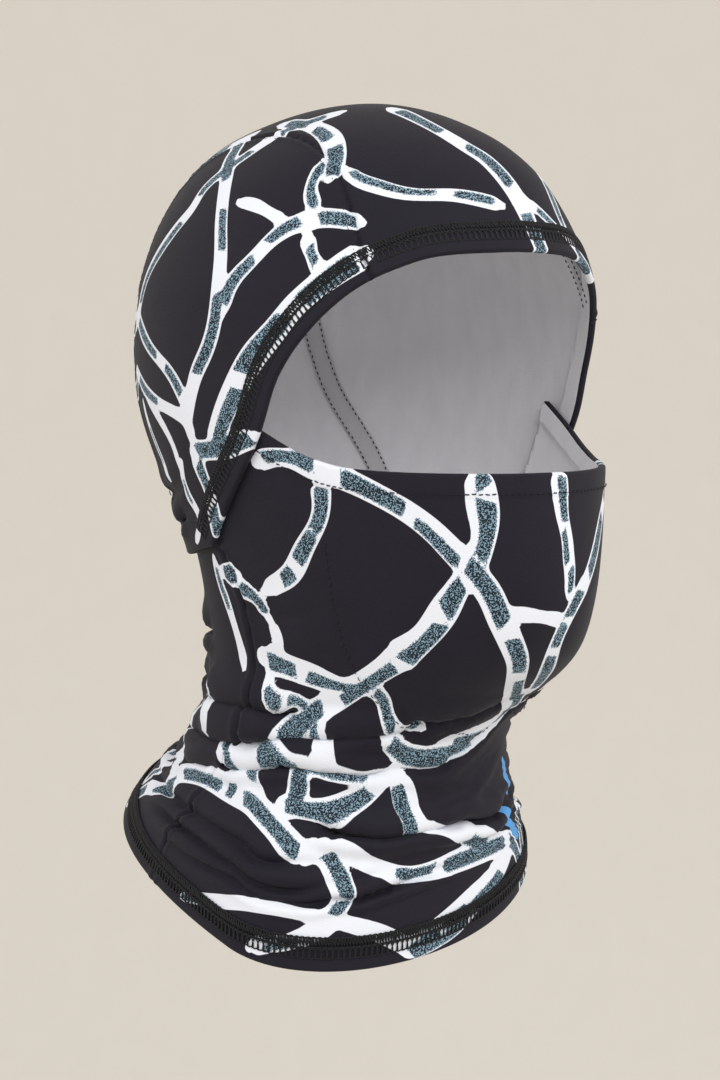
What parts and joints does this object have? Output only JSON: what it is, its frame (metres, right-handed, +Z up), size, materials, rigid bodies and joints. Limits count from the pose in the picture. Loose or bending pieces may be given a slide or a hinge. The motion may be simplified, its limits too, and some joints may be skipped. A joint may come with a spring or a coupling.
{
  "type": "hinged balaclava",
  "caption": "Stretch jersey balaclava with a printed shell and brushed lining, a face opening under the hood, and a mask that pulls down over the chin",
  "frame": {"origin": "the centre of the wearer's head, level with the ears, on the middle plane", "axes": "+Z up to the crown, -Y out of the face, -X the wearer's right"},
  "size_m": [0.1556, 0.2086, 0.3146],
  "materials": {
    "printed_jersey": "satin",
    "brushed_fleece": "matte",
    "black_thread": "satin"
  },
  "bodies": {
    "hood": {"hood_crown_panel": "printed_jersey", "hood_right_panel": "printed_jersey", "hood_left_panel": "printed_jersey", "face_hem_fold_crown": "brushed_fleece", "face_hem_fold_right": "brushed_fleece", "face_hem_fold_left": "brushed_fleece", "face_hem_coverstitch": "black_thread", "crown_seam_allowance_right": "brushed_fleece", "crown_seam_allowance_left": "brushed_fleece", "crown_seam_topstitch_right": "black_thread", "crown_seam_topstitch_left": "black_thread", "nape_seam_allowance": "brushed_fleece", "mask_panel": "printed_jersey", "neck_front_panel": "printed_jersey", "mask_hem_end_right": "brushed_fleece", "mask_hem_end_left": "brushed_fleece", "chin_dart_allowance_right": "brushed_fleece", "chin_dart_allowance_left": "brushed_fleece", "chin_dart_topstitch_right": "black_thread", "chin_dart_topstitch_left": "black_thread", "neck_back_panel": "printed_jersey", "bottom_hem_fold_front": "brushed_fleece", "bottom_hem_fold_back": "brushed_fleece", "bottom_hem_coverstitch": "black_thread", "side_seam_allowance_right": "brushed_fleece", "side_seam_allowance_left": "brushed_fleece"},
    "mask_edge": {"mask_top_hem": "printed_jersey", "mask_hem_topstitch": "black_thread"}
  },
  "joints": [
    {"name": "mask_pull_down", "type": "hinge", "parent": "hood", "child": "mask_edge", "pos_m": [0, 0.008, -0.056], "axis": [0.9842, -0.1772, 0], "range_deg": [0, 40], "deforming": ["mask_panel", "mask_hem_end_right", "mask_hem_end_left"]}
  ]
}
